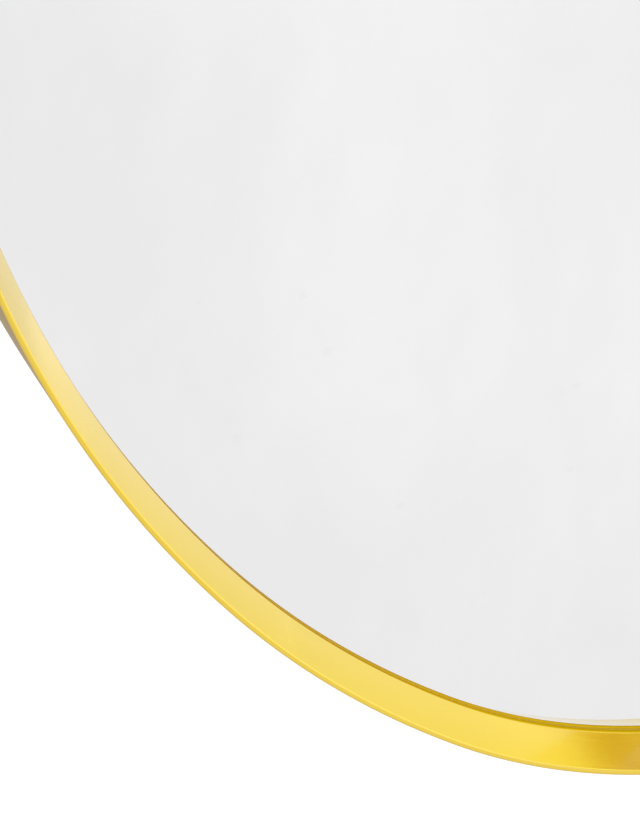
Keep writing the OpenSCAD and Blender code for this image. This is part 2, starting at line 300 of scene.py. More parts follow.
@dataclass(frozen=True)
class SatinGold:
    """Gold-coloured anodised metal, brushed along the frame, under a clear hard coat.

    The names that end in start and end are lengths round the section, from the rear outer corner:
    up the side wall, over the rim and its edge, down the slope and over the lip beside the glass.
    """

    face: Skin = Skin((0.876, 0.660, 0.067), (0.805, 0.580, 0.037), (1.0, 0.98, 0.93), 0.11)
    # The side wall's dark grazing tint is painted shade: its glancing reflections turn taupe, as if
    # it reflected shaded surroundings.
    wall: Skin = Skin((0.86, 0.62, 0.115), (0.76, 0.53, 0.07), (0.20, 0.21, 0.40), 0.34)
    # The lip's deep, saturated gold is painted reflection: it stands in for gold reflected in gold
    # between the lip and its image in the glass.
    lip: Skin = Skin((0.92, 0.605, 0.016), (0.82, 0.525, 0.012), (0.42, 0.32, 0.35), 0.28)
    coat_roughness: float = 0.06
    coat_ior: float = 1.56
    coat_thin: float = 0.55
    grain_run: float = 26.0
    grain_width: float = 1500.0
    hair_width: float = 6200.0
    hair_share: float = 0.45
    cloud_scale: float = 9.0
    grain_tone: float = 0.8
    cloud_tone: float = 0.9
    grain_gloss: float = 0.10
    cloud_gloss: float = 0.05
    relief_depth: float = 0.000004
    wall_end: float = 32.4 * MM
    wall_fade: float = 0.4 * MM
    # Painted shade: a brown tone laid over the rim's outer rounded edge, where it turns away from
    # the light.
    painted_rim_edge_shade: Colour = (0.50, 0.34, 0.11)
    rim_edge_shade_fade: float = 0.2 * MM
    rim_edge_shade_share: float = 0.55
    # Painted shade: the rim gets a darker, more orange copy of the slope's gold.
    shaded_rim_light: Colour = (0.785, 0.567, 0.050)
    shaded_rim_deep: Colour = (0.72, 0.495, 0.028)
    edge_start: float = 33.1 * MM
    edge_end: float = 34.1 * MM
    edge_fade: float = 0.4 * MM
    # Painted highlight: a tone laid on the rounded edge between rim and slope, which sets how bright
    # its highlight line looks.
    painted_highlight_tone: Colour = (0.80, 0.59, 0.09)
    painted_highlight_share: float = 0.8
    face_start: float = 33.8 * MM
    face_end: float = 47.1 * MM
    crown: float = 0.031
    lip_end: float = 49.0 * MM
    lip_fade: float = 0.2 * MM

    def brushed(self, sheet: ShaderSheet, along: Signal, across: Signal) -> tuple[Signal, ...]:
        """The brushing marks, and how they and faint clouds change the colour and the gloss.

        Args:
            sheet: The material's sheet.
            along: The length along the frame.
            across: The length round the section.

        Returns:
            The marks, the share of the light colour and the change of roughness.
        """
        sizes = ((self.grain_run, self.grain_width), (2 * self.grain_run, self.hair_width))
        broad, hair = (
            sheet.noise(sheet.vector(along * run, across * width), 1.0, detail=2.0, rough=0.6)
            for run, width in sizes
        )
        cloud = sheet.noise(sheet.place(), self.cloud_scale, detail=2.0)
        grain = broad * (1 - self.hair_share) + hair * self.hair_share
        tone = grain.swing(self.grain_tone) + cloud.swing(self.cloud_tone) + 0.5
        return grain, tone, grain.swing(self.grain_gloss) + cloud.swing(self.cloud_gloss)

    def make(self) -> bpy.types.Material:
        """Builds the material on the frame's own surface coordinates.

        Returns:
            The material.
        """
        sheet = ShaderSheet("satin_gold")
        along, across = sheet.unwrapped()
        grain, tone, gloss = self.brushed(sheet, along, across)
        width = self.face_end - self.face_start
        deepening = across.ramp(self.face_start, self.face_end)
        down = (across - self.face_start).clamp(0.0, width)
        slack = down - down * down / (2 * width)
        sheet.relief(grain * self.relief_depth - slack * self.crown, 1.0)
        beyond = across.ramp(self.edge_start, self.edge_start + self.edge_fade)
        # The band over the rounded edge between rim and slope, where the painted highlight tone
        # goes.
        edge = beyond * (1 - across.ramp(self.edge_end - self.edge_fade, self.edge_end))
        # Painted shade on the rim's outer rounded edge, fading out onto the rim.
        rim_edge_shade_mask = 1 - across.ramp(self.wall_end, self.wall_end + self.rim_edge_shade_fade)
        body = sheet.mix(tone, self.face.deep, self.face.light)
        # Painted shade: the darker copy of the gold on the rim.
        body = sheet.mix(1 - beyond, body, sheet.mix(tone, self.shaded_rim_deep, self.shaded_rim_light))
        body = sheet.mix(rim_edge_shade_mask * self.rim_edge_shade_share, body, self.painted_rim_edge_shade)
        sheet.dress(
            base_color=sheet.mix(edge * self.painted_highlight_share, body, self.painted_highlight_tone),
            metallic=1.0,
            roughness=self.face.roughness + gloss,
            coat_weight=self.coat_thin + deepening * (1 - self.coat_thin),
            coat_roughness=self.coat_roughness,
            coat_ior=self.coat_ior,
            specular_tint=self.face.grazing,
        )
        # On the lip, the deeper gold of the painted reflection.
        on_lip = across.ramp(self.face_end, self.face_end + self.lip_fade)
        on_lip = on_lip * (1 - across.ramp(self.lip_end, self.lip_end + self.lip_fade))
        # On the side wall, a gold whose dark grazing tint paints shade into its glancing
        # reflections.
        on_wall = 1 - across.ramp(self.wall_end - self.wall_fade, self.wall_end)
        for share, skin in ((on_lip, self.lip), (on_wall, self.wall)):
            sheet.overlay(share)
            sheet.relief(grain, self.relief_depth)
            sheet.dress(
                base_color=sheet.mix(tone, skin.deep, skin.light),
                metallic=1.0,
                roughness=skin.roughness + gloss,
                specular_tint=skin.grazing,
            )
        return sheet.material


@dataclass(frozen=True)
class SilveredGlass:
    """The mirror's reflecting face, with a trace of haze, wiping marks and dust, and painted shade
    towards its edge.
    """

    tint: Colour = (0.803, 0.803, 0.803)
    haze_tint: Colour = (0.743, 0.743, 0.743)
    haze_scale: float = 8.0
    haze_share: float = 1.2
    wipe_scale: float = 45.0
    wipe_turn: float = 0.8
    wipe_stretch: float = 0.5
    wipe_share: float = 1.0
    wipe_gloss: float = 0.006
    dust_scale: float = 40.0
    dust_near: float = 0.04
    dust_far: float = 0.09
    dust_share: float = 0.25
    film: float = 0.3
    # Painted shade: the glass turns hazier and darker towards the frame.
    glass_shade_start: float = 0.45
    glass_shade_share: float = 0.6
    half_w: float = 297 * MM
    half_h: float = 449 * MM
    roughness: float = 0.012

    def make(self) -> bpy.types.Material:
        """Builds the material.

        Returns:
            The material.
        """
        sheet = ShaderSheet("silvered_glass")
        at = sheet.place()
        haze = sheet.noise(at, self.haze_scale, detail=1.0)
        wiped = sheet.mapped(
            at, Rotation=(0.0, self.wipe_turn, 0.0), Scale=(1.0, 1.0, self.wipe_stretch)
        )
        wipe = sheet.noise(wiped, self.wipe_scale, detail=4.0, rough=0.55)
        dust = 1 - sheet.cells(at, self.dust_scale).ramp(self.dust_near, self.dust_far)
        x, _, z = sheet.split(at)
        # Painted shade, growing towards the frame.
        reach = x * x / self.half_w**2 + z * z / self.half_h**2
        painted_glass_shade = reach.ramp(self.glass_shade_start, 1.0) * self.glass_shade_share
        film = haze.swing(self.haze_share) + wipe.swing(self.wipe_share)
        film = film + dust * self.dust_share + painted_glass_shade + self.film
        return sheet.dress(
            base_color=sheet.mix(film.clamp(0.0, 1.0), self.tint, self.haze_tint),
            metallic=1.0,
            roughness=self.roughness + wipe * self.wipe_gloss,
        )


@dataclass(frozen=True)
class Fibreboard:
    """Bare pressed fibreboard: fine fibres, darker flecks and a soft, dry surface."""

    pale: Colour = (0.30, 0.185, 0.100)
    dark: Colour = (0.19, 0.108, 0.056)
    fleck: Colour = (0.105, 0.058, 0.029)
    fibre_scale: float = 420.0
    fibre_tone: float = 1.4
    patch_scale: float = 14.0
    patch_tone: float = 0.8
    fleck_scale: float = 1500.0
    fleck_full: float = 0.32
    fleck_none: float = 0.42
    fleck_share: float = 0.5
    roughness: float = 0.78
    fibre_gloss: float = 0.14
    relief_depth: float = 0.00008

    def make(self) -> bpy.types.Material:
        """Builds the material.

        Returns:
            The material.
        """
        sheet = ShaderSheet("fibreboard")
        at = sheet.place()
        fibre = sheet.noise(at, self.fibre_scale, detail=6.0, rough=0.7)
        patch = sheet.noise(at, self.patch_scale, detail=3.0)
        grit = sheet.noise(at, self.fleck_scale, detail=2.0, rough=0.6)
        fleck = 1 - grit.ramp(self.fleck_full, self.fleck_none)
        tone = fibre.swing(self.fibre_tone) + patch.swing(self.patch_tone) + 0.5
        sheet.relief(fibre, self.relief_depth)
        body = sheet.mix(tone, self.dark, self.pale)
        return sheet.dress(
            base_color=sheet.mix(fleck * self.fleck_share, body, self.fleck),
            roughness=self.roughness + fibre * self.fibre_gloss,
        )


@dataclass(frozen=True)
class PlatedMetal:
    """A plated metal part: fine mottling, rolling lines and slightly uneven gloss."""

    name: str
    light: Colour
    deep: Colour
    roughness: float
    mottle_scale: float = 420.0
    mottle_tone: float = 1.2
    mottle_gloss: float = 0.14
    line_scale: float = 2600.0
    line_stretch: float = 0.06
    line_tone: float = 0.5
    line_gloss: float = 0.06
    line_relief: float = 0.6
    relief_depth: float = 0.000012

    def make(self) -> bpy.types.Material:
        """Builds the material.

        Returns:
            The material.
        """
        sheet = ShaderSheet(self.name)
        at = sheet.place()
        mottle = sheet.noise(at, self.mottle_scale, detail=4.0, rough=0.6)
        rolled = sheet.mapped(at, Scale=(self.line_stretch, 1.0, 1.0))
        line = sheet.noise(rolled, self.line_scale, detail=2.0)
        tone = mottle.swing(self.mottle_tone) + line.swing(self.line_tone) + 0.5
        ripple = line * self.line_relief + mottle * (1 - self.line_relief)
        sheet.relief(ripple, self.relief_depth)
        gloss = self.roughness + mottle.swing(self.mottle_gloss) + line.swing(self.line_gloss)
        return sheet.dress(
            base_color=sheet.mix(tone, self.deep, self.light), metallic=1.0, roughness=gloss
        )


@dataclass(frozen=True)
class SoftMatter:
    """Rubber, foam or film: a dull skin with fine pores."""

    name: str
    light: Colour
    deep: Colour
    roughness: float
    pore_scale: float = 2400.0
    pore_strength: float = 0.7
    dust_scale: float = 160.0
    dust_tone: float = 1.3
    dust_gloss: float = 0.12
    shine: float = 0.3
    relief_depth: float = 0.00004

    def make(self) -> bpy.types.Material:
        """Builds the material.

        Returns:
            The material.
        """
        sheet = ShaderSheet(self.name)
        at = sheet.place()
        pores = sheet.cells(at, self.pore_scale)
        dust = sheet.noise(at, self.dust_scale, detail=4.0, rough=0.6)
        sheet.relief(pores, self.relief_depth, self.pore_strength)
        return sheet.dress(
            base_color=sheet.mix(dust.swing(self.dust_tone) + 0.5, self.deep, self.light),
            roughness=self.roughness + dust.swing(self.dust_gloss),
            specular_ior_level=self.shine,
        )


FINISHES: Mapping[Slot, object] = {
    Slot.FRAME: SatinGold(),
    Slot.MIRROR: SilveredGlass(),
    Slot.BOARD: Fibreboard(),
    Slot.KEY: PlatedMetal("mill_aluminium", (0.60, 0.60, 0.61), (0.46, 0.46, 0.47), 0.38),
    Slot.GRUB: PlatedMetal("black_oxide", (0.050, 0.048, 0.047), (0.025, 0.024, 0.024), 0.42),
    Slot.CLIP: PlatedMetal("zinc_sheet", (0.58, 0.59, 0.61), (0.38, 0.39, 0.41), 0.32),
    Slot.SCREW: PlatedMetal("zinc_screw", (0.66, 0.63, 0.55), (0.46, 0.42, 0.33), 0.26),
    Slot.STRAP: PlatedMetal("nickel_sheet", (0.60, 0.57, 0.52), (0.43, 0.40, 0.36), 0.22),
    Slot.RING: PlatedMetal("nickel_wire", (0.66, 0.63, 0.58), (0.50, 0.47, 0.43), 0.13),
    Slot.BUMPER: SoftMatter("moulded_rubber", (0.035, 0.034, 0.033), (0.018, 0.018, 0.018), 0.62),
    # Painted reflection: the foam is a mustard gold, so that the slot under the lip reads as one
    # gold band with the lip's image in the glass.
    Slot.GLAZING: SoftMatter(
        "glazing_foam", (0.95, 0.64, 0.055), (0.84, 0.55, 0.045), 0.85, shine=0.08
    ),
    Slot.FILM: SoftMatter(
        "backing_film", (0.34, 0.36, 0.38), (0.28, 0.30, 0.32), 0.45, pore_scale=900.0
    ),
    Slot.TAPE: SoftMatter("white_foam", (0.78, 0.77, 0.73), (0.66, 0.65, 0.61), 0.80),
}


@cache
def material(slot: Slot) -> bpy.types.Material:
    """The slot's material, made at its first use."""
    return FINISHES[slot].make()


def dress_node(node: str, slot: Slot) -> None:
    """Gives a CAD node its slot's material, leaving its mesh as it is.

    Args:
        node: The node's name.
        slot: Its material slot.
    """
    for place in frame["nodes"][node].material_slots:
        place.material = material(slot)
    LOG.info("node %s dressed as %s", node, slot.value)


# Modelling by hand tools


class Workpiece:
    """A mesh on the bench: one primitive, shaped by edit-mode tools and modifiers."""

    def __init__(self, name: str, add: Callable[[], object]) -> None:
        """Adds the primitive, with nothing else selected.

        Args:
            name: The piece's name.
            add: Adds one primitive at its size and place.
        """
        bpy.ops.object.select_all(action="DESELECT")
        add()
        self.obj = bpy.context.active_object
        self.obj.name = name
        self.obj.data.name = name
        bpy.ops.object.transform_apply(location=True, rotation=True, scale=True)

    def __enter__(self) -> Workpiece:
        """Starts editing, with nothing selected.

        Returns:
            The piece itself.
        """
        bpy.ops.object.mode_set(mode="EDIT")
        self.deselect()
        return self

    def __exit__(self, *_: object) -> None:
        """Ends editing."""
        bpy.ops.object.mode_set(mode="OBJECT")

    def deselect(self) -> None:
        """Deselects the whole mesh."""
        bpy.ops.mesh.select_all(action="DESELECT")

    def select_all(self) -> None:
        """Selects the whole mesh."""
        bpy.ops.mesh.select_all(action="SELECT")

    def select(self, element: Element, test: Callable[[Vector], bool]) -> None:
        """Selects the elements whose place passes a test, and nothing else.

        Args:
            element: The kind of element.
            test: Takes the middle of an element.
        """
        bpy.ops.mesh.select_mode(type=element.name)
        self.deselect()
        mesh = bmesh.from_edit_mesh(self.obj.data)
        for item in getattr(mesh, element.value):
            corners = [item] if element is Element.VERT else item.verts
            if test(sum((corner.co for corner in corners), Vector()) / len(corners)):
                item.select_set(True)
        mesh.select_flush_mode()
        bmesh.update_edit_mesh(self.obj.data)

    def move(self, by: Sequence[float]) -> None:
        """Moves the selection."""
        bpy.ops.transform.translate(value=tuple(by))

    def resize(self, by: Sequence[float]) -> None:
        """Resizes the selection about its own middle."""
        bpy.ops.transform.resize(value=tuple(by))

    def extrude(self, by: Sequence[float]) -> None:
        """Extrudes the selection and moves the new part."""
        bpy.ops.mesh.extrude_region_move(TRANSFORM_OT_translate={"value": tuple(by)})

    def bevel(self, radius: float, segments: int, corners: bool = False) -> None:
        """Bevels the selected edges, or the selected corners of a flat outline."""
        affect = "VERTICES" if corners else "EDGES"
        bpy.ops.mesh.bevel(offset=radius, segments=segments, affect=affect)

    def spin(self, angle: float, steps: int, centre: Sequence[float], axis: Sequence[float]) -> None:
        """Sweeps the selection round an axis, by the right-hand rule.

        Args:
            angle: The angle in radians.
            steps: How many steps it takes.
            centre: A point of the axis.
            axis: The axis's direction.
        """
        bpy.ops.mesh.spin(
            steps=steps, angle=-angle, center=tuple(centre), axis=tuple(axis), use_auto_merge=False
        )

    def weld(self, distance: float) -> None:
        """Merges what lies together and turns all faces outwards.

        Args:
            distance: How close merged vertices are.
        """
        self.select_all()
        bpy.ops.mesh.remove_doubles(threshold=distance)
        bpy.ops.mesh.normals_make_consistent(inside=False)

    def activate(self) -> None:
        """Selects this object alone and makes it the active one."""
        bpy.ops.object.select_all(action="DESELECT")
        self.obj.select_set(True)
        bpy.context.view_layer.objects.active = self.obj

    def modify(self, kind: str, **settings: object) -> None:
        """Adds a modifier and applies it.

        Args:
            kind: The modifier's type.
            settings: Its settings.
        """
        self.activate()
        modifier = self.obj.modifiers.new(kind.lower(), kind)
        for key, value in settings.items():
            setattr(modifier, key, value)
        bpy.ops.object.modifier_apply(modifier=modifier.name)

    def soften(self, width: float) -> None:
        """Takes the sharpness off all edges of a finished solid."""
        self.modify("BEVEL", width=width, segments=2, limit_method="ANGLE", angle_limit=1.0)

    def thicken(self, sheet: float, softening: float) -> None:
        """Makes a sheet metal part from its bent middle face.

        Args:
            sheet: The sheet's thickness.
            softening: The width of the bevel on its edges.
        """
        self.modify("SOLIDIFY", thickness=sheet, offset=0.0, use_even_offset=True)
        self.soften(softening)
        self.smooth()

    def smooth(self, angle: float = 35.0) -> None:
        """Shades curves smooth and keeps flat faces flat up to their rounded edges.

        Args:
            angle: The angle in degrees above which an edge stays sharp.
        """
        self.activate()
        bpy.ops.object.shade_smooth_by_angle(angle=math.radians(angle))
        self.modify("WEIGHTED_NORMAL", keep_sharp=True, mode="FACE_AREA", weight=80)

    def put(self, place: Matrix) -> None:
        """Moves the finished mesh to its place and leaves the object at the origin.

        Args:
            place: The placement.
        """
        self.obj.matrix_world = place
        self.activate()
        bpy.ops.object.transform_apply(location=True, rotation=True, scale=True)

    def copies(self, names: Sequence[str], places: Sequence[Matrix]) -> list[bpy.types.Object]:
        """Copies the finished piece, each copy with its own mesh, and puts each in place.

        Args:
            names: One name for each copy, the first for this piece itself.
            places: Where each goes.

        Returns:
            The pieces.
        """
        pieces = [self.obj]
        for _ in names[1:]:
            twin = self.obj.copy()
            twin.data = self.obj.data.copy()
            bpy.context.scene.collection.objects.link(twin)
            pieces.append(twin)
        for piece, name, place in zip(pieces, names, places):
            piece.name = piece.data.name = name
            self.obj = piece
            self.put(place)
        return pieces


def flat_sheet(name: str, middle: Sequence[float], size: Point2) -> Workpiece:
    """Starts a piece as one flat, level rectangle.

    Args:
        name: The piece's name.
        middle: The rectangle's middle.
        size: Its length in x and in y.

    Returns:
        The piece.
    """
    piece = Workpiece(name, lambda: bpy.ops.mesh.primitive_plane_add(size=1))
    with piece:
        piece.select_all()
        piece.resize((*size, 1))
        piece.move(middle)
    return piece


def lone_vertex(name: str, place: Sequence[float]) -> Workpiece:
    """Starts a piece as a single vertex.

    Args:
        name: The piece's name.
        place: Where the vertex is.

    Returns:
        The piece.
    """
    piece = Workpiece(name, lambda: bpy.ops.mesh.primitive_plane_add(size=MM))
    with piece:
        piece.select_all()
        bpy.ops.mesh.merge(type="CENTER")
        bpy.ops.mesh.select_mode(type="VERT")
        piece.select_all()
        piece.move(place)
    return piece


def drawn_outline(name: str, points: Sequence[Sequence[float]]) -> Workpiece:
    """Starts a piece as a closed outline, drawn point by point from one vertex.

    Args:
        name: The piece's name.
        points: The outline's corners.

    Returns:
        The piece, with the outline as its only edges.
    """
    piece = lone_vertex(name, points[0])
    with piece:
        piece.select_all()
        for start, end in zip(points, points[1:]):
            step = Vector(end) - Vector(start)
            bpy.ops.mesh.extrude_vertices_move(TRANSFORM_OT_translate={"value": tuple(step)})
        ends = [Vector(point) for point in (points[0], points[-1])]
        piece.select(Element.VERT, lambda co: any((co - end).length < TOUCH for end in ends))
        bpy.ops.mesh.edge_face_add()
    return piece


# The oval


@dataclass(frozen=True)
class Arc:
    """One arc of the oval, in the mirror's own plane."""

    centre: Point2
    radius: float
    start: float
    end: float

    def point(self, angle: float) -> Point2:
        """The point at an angle."""
        across, up = self.radius * math.cos(angle), self.radius * math.sin(angle)
        return self.centre[0] + across, self.centre[1] + up


@dataclass(frozen=True)
class Oval:
    """The frame's outline: arcs that run into one another without a kink."""

    half_w: float = 305 * MM
    half_h: float = 457 * MM
    end_r: float = 215 * MM
    shoulder_r: float = 365 * MM
    turns: tuple[Point2, ...] = ((0.96, 0.28), (0.8, 0.6), (0.6, 0.8))
    chord: float = 5 * MM

    def quarter(self) -> list[tuple[Point2, float]]:
        """Centres and radii of the first quarter, from the side to the end.

        Returns:
            One centre and radius for each arc.
        """
        turn_a, turn_b, turn_c = self.turns
        step_c = self.shoulder_r - self.end_r
        rest_x = self.half_w - self.end_r - step_c * (1 - turn_c[0])
        rest_y = self.half_h - self.end_r - step_c * turn_c[1]
        det = (1 - turn_a[0]) * turn_b[1] - (1 - turn_b[0]) * turn_a[1]
        step_a = (rest_x * turn_b[1] - (1 - turn_b[0]) * rest_y) / det
        step_b = ((1 - turn_a[0]) * rest_y - turn_a[1] * rest_x) / det
        flank_r = self.shoulder_r + step_b
        side_r = flank_r + step_a
        side = (self.half_w - side_r, 0.0)
        flank = (side[0] + step_a * turn_a[0], step_a * turn_a[1])
        shoulder = (flank[0] + step_b * turn_b[0], flank[1] + step_b * turn_b[1])
        end = (0.0, self.half_h - self.end_r)
        return [(side, side_r), (flank, flank_r), (shoulder, self.shoulder_r), (end, self.end_r)]

    def arcs(self, gap: float = 0.0) -> list[Arc]:
        """The arcs in order, from the bottom to the right and all the way round.

        Args:
            gap: A gap left open at the bottom, in metres.

        Returns:
            The arcs.
        """
        bends = [math.atan2(s, c) for c, s in self.turns]
        quarter = self.quarter()
        half_gap = gap / 2 / self.end_r
        stops = [-math.pi / 2 + half_gap]
        for base in (0.0, math.pi):
            stops += [base - bend for bend in reversed(bends)] + [base + bend for bend in bends]
        stops.append(3 * math.pi / 2 - half_gap)
        arcs = []
        for start, end in zip(stops, stops[1:]):
            middle = (start + end) / 2
            fold = math.atan2(abs(math.sin(middle)), abs(math.cos(middle)))
            (x, y), radius = quarter[sum(fold > bend for bend in bends)]
            sign_x, sign_y = math.copysign(1, math.cos(middle)), math.copysign(1, math.sin(middle))
            arcs.append(Arc((x * sign_x, y * sign_y), radius, start, end))
        return arcs

    def spot(self, angle: float) -> Point2:
        """The point of the outline that faces an angle."""
        turn = (angle + math.pi / 2) % (2 * math.pi) - math.pi / 2
        return next(arc for arc in self.arcs() if turn <= arc.end).point(turn)

    def sweep(self, piece: Workpiece, gap: float = 0.0) -> None:
        """Sweeps the selection, which lies at the bottom of the oval, round all its arcs.

        Args:
            piece: The piece that is being edited.
            gap: A gap left open at the bottom.
        """
        for arc in self.arcs(gap):
            steps = 2 * math.ceil(arc.radius * (arc.end - arc.start) / self.chord / 2)
            centre = UPRIGHT @ Vector((*arc.centre, 0.0))
            piece.spin(arc.end - arc.start, steps, centre, (0, -1, 0))

    def unroll(self, point: Vector) -> tuple[float, float]:
        """How far round the oval a point lies, and how far in from its outside.

        Args:
            point: A point on the upright mirror.

        Returns:
            The length along the outline from the bottom, and the inset.
        """
        travelled = 0.0
        best = (math.inf, 0.0, 0.0)
        for arc in self.arcs():
            dx, dz = point.x - arc.centre[0], point.z - arc.centre[1]
            middle = (arc.start + arc.end) / 2
            turn = math.remainder(math.atan2(dz, dx) - middle, 2 * math.pi)
            half = (arc.end - arc.start) / 2
            outside = max(abs(turn) - half, 0.0)
            inset = arc.radius - math.hypot(dx, dz)
            if outside < best[0] and inset < self.half_w / 2:
                along = travelled + arc.radius * (turn + half)
                best = (outside, along, inset)
            travelled += arc.radius * 2 * half
        return best[1], best[2]


@dataclass(frozen=True)
class Heights:
    """Heights above the wall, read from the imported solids."""

    rim: float
    board: float
    glazing: float
    seat: float
    front: float

    @classmethod
    def read(cls) -> Heights:
        """Takes the heights from the boxes of the nodes.

        Returns:
            The heights.
        """
        nodes = ("frame", "backing_board", "glazing_tape")
        spans = [(-high.y, -low.y) for low, high in map(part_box, nodes)]
        (rim, front), (board, _), (glazing, seat) = spans
        return cls(rim, board, glazing, seat, front)


def in_plane(spot: Point2, angle: float, height: float = 0.0) -> Matrix:
    """Where a piece goes that was modelled lying down, by its spot, x direction and height."""
    return UPRIGHT @ Matrix.Translation((*spot, height)) @ Matrix.Rotation(angle, 4, "Z")


# Sub-assemblies


@dataclass
class SubAssembly:
    """What every sub-assembly shares."""

    oval: Oval
    heights: Heights

    def finish(self, obj: bpy.types.Object, node: str, slot: Slot, body: str = "mirror") -> None:
        """Dresses a piece, lets it ride on its body and stand for its node.

        Args:
            obj: The finished piece.
            node: The CAD node that it stands for.
            slot: Its material slot.
            body: The CAD body that it moves with.
        """
        obj.data.materials.clear()
        obj.data.materials.append(material(slot))
        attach(obj, body)
        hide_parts(node)
        LOG.info("piece %s for node %s, %d faces", obj.name, node, len(obj.data.polygons))

    def spread(
        self,
        piece: Workpiece,
        nodes: Mapping[str, str],
        places: Sequence[Matrix],
        slot: Slot,
        swings: bool = False,
    ) -> None:
        """Puts a copy at each place and finishes it, by the copies' names and their nodes."""
        for obj, node in zip(piece.copies(list(nodes), places), nodes.values()):
            self.finish(obj, node, slot, f"{node}_body" if swings else "mirror")


@dataclass
class BentFrame(SubAssembly):
    """The hollow bent section, in one length that closes at the bottom."""

    wall: float = 1.8 * MM
    rim_width: float = 1.8 * MM
    face_width: float = 6.2 * MM
    lip_height: float = 1.4 * MM
    web: float = 1.2 * MM
    flange: float = 3 * MM
    flange_thickness: float = 1.6 * MM
    joint_gap: float = 0.2 * MM
    edge_round: float = 0.35 * MM
    inner_round: float = 0.25 * MM
    round_segments: int = 3

    def corners(self) -> list[Point2]:
        """The section's corners: how far in from the outside, and the height.

        Returns:
            The corners in order.
        """
        h = self.heights
        sight = self.rim_width + self.face_width
        inner = self.wall + self.flange
        return [
            (0, h.rim),
            (0, h.front),
            (self.rim_width, h.front),
            (sight, h.seat + self.lip_height),
            (sight, h.seat),
            (self.wall, h.seat),
            (self.wall, h.rim + self.flange_thickness),
            (inner, h.rim + self.flange_thickness),
            (inner, h.rim),
        ]

    def chamber(self) -> list[Point2]:
        """The corners of the hollow chamber inside the section.

        Returns:
            The corners in order.
        """
        h = self.heights
        depth = h.front - h.seat - self.lip_height
        slope = math.hypot(self.face_width, depth)
        floor = h.seat + self.web
        drop = self.web * slope / self.face_width
        top = h.front - drop - (self.wall - self.rim_width) * depth / self.face_width
        width = (top - floor) * self.face_width / depth
        return [(self.wall, floor), (self.wall, top), (self.wall + width, floor)]

    def at_bottom(self, corner: Point2) -> Vector:
        """A point of the section, placed on the right of the joint."""
        inset, height = corner
        return Vector((self.joint_gap / 2, -height, inset - self.oval.half_h))

    def section(self) -> Workpiece:
        """Draws the section with its rounded corners and its hollow chamber.

        Returns:
            The flat section.
        """
        piece = drawn_outline("bent_frame", [self.at_bottom(c) for c in self.corners()])
        with piece:
            piece.select_all()
            bpy.ops.mesh.edge_face_add()
            corners = [self.at_bottom(c) for c in self.corners()]
            outer, inner = corners[:4] + corners[7:], corners[4:7]
            for radius, places in ((self.edge_round, outer), (self.inner_round, inner)):
                piece.select(
                    Element.VERT, lambda co: any((co - at).length < TOUCH for at in places)
                )
                piece.bevel(radius, self.round_segments, corners=True)
            piece.select_all()
            bpy.ops.mesh.delete(type="ONLY_FACE")
        chamber = drawn_outline("chamber", [self.at_bottom(c) for c in self.chamber()])
        piece.activate()
        chamber.obj.select_set(True)
        bpy.ops.object.join()
        with piece:
            piece.select_all()
            bpy.ops.mesh.fill(use_beauty=True)
        return piece

    def sides(self) -> list[tuple[Vector, Vector]]:
        """The start and the end of each side of the section."""
        corners = [Vector(corner) for corner in self.corners()]
        return list(zip(corners, corners[1:] + corners[:1]))

    def girth(self, inset: float, height: float) -> float:
        """How far round the section a point lies, from the rear outer corner.

        Args:
            inset: How far in from the outside it is.
            height: Its height above the wall.

        Returns:
            The length along the section's outline.
        """
        spot = Vector((inset, height))
        travelled, best = 0.0, (math.inf, 0.0)
        for start, end in self.sides():
            side = end - start
            share = min(max((spot - start).dot(side) / side.length_squared, 0.0), 1.0)
            best = min(best, ((spot - start - share * side).length, travelled + share * side.length))
            travelled += side.length
        return best[1]

    def unwrap(self, obj: bpy.types.Object) -> None:
        """Lays out the surface: along the oval, and round the section.

        Args:
            obj: The swept frame.
        """
        layer = obj.data.uv_layers.new(name="along_and_round")
        whole = sum((end - start).length for start, end in self.sides())
        spots = []
        for vertex in obj.data.vertices:
            along, inset = self.oval.unroll(vertex.co)
            spots.append((along, self.girth(inset, -vertex.co.y)))
        for polygon in obj.data.polygons:
            furthest = max(spots[k][1] for k in polygon.vertices)
            for loop, vertex in zip(polygon.loop_indices, polygon.vertices):
                along, round_ = spots[vertex]
                if furthest - round_ > whole / 2:
                    round_ += whole
                layer.data[loop].uv = (along, round_)

    def build(self) -> None:
        """Sweeps the section round the oval and dresses the frame."""
        piece = self.section()
        with piece:
            bpy.ops.mesh.select_mode(type="FACE")
            piece.select_all()
            self.oval.sweep(piece, self.joint_gap)
            piece.weld(HAIR)
        piece.smooth()
        self.unwrap(piece.obj)
        self.finish(piece.obj, "frame", Slot.FRAME)


